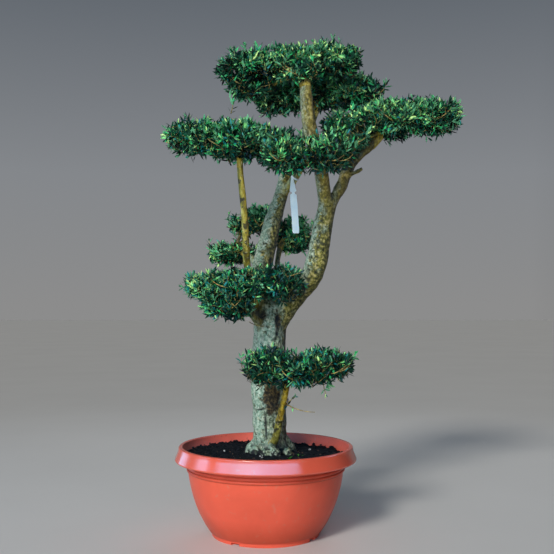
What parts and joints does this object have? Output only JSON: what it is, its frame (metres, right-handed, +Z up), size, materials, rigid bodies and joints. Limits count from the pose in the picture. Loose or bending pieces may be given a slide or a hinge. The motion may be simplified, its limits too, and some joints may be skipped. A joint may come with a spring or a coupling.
{
  "type": "olive bonsai in a bowl pot",
  "caption": "Olive trained as a cloud-pruned bonsai: a thick trunk forks into leaning boughs with rounded pads of narrow leaves, in a round terracotta-coloured plastic bowl pot full of soil.",
  "frame": {"origin": "middle of the pot's flat underside, on the surface that the pot stands on", "axes": "+Z straight up from the pot's underside, +X to the plant's right as seen from the front, +Y from the front to the back"},
  "size_m": [1.0196, 0.6118, 1.6478],
  "materials": {
    "bark": "matte",
    "foliage": "satin",
    "pot": "satin",
    "soil": "matte",
    "label": "satin"
  },
  "bodies": {
    "root": {"pot": "pot", "soil": "soil", "trunk": "bark", "right_bough": "bark", "upper_limb": "bark", "right_upper_bough": "bark", "left_bough": "bark", "centre_bough": "bark", "thin_stem": "bark", "middle_left_bough": "bark", "rear_right_bough": "bark", "rear_left_bough": "bark", "lower_shoot": "bark", "top_front_mass": "foliage", "top_rear_mass": "foliage", "right_mass": "foliage", "left_mass": "foliage", "centre_mass": "foliage", "middle_left_mass": "foliage", "rear_left_mass": "foliage", "rear_right_mass": "foliage", "lower_front_mass": "foliage", "tag": "label"}
  },
  "joints": []
}
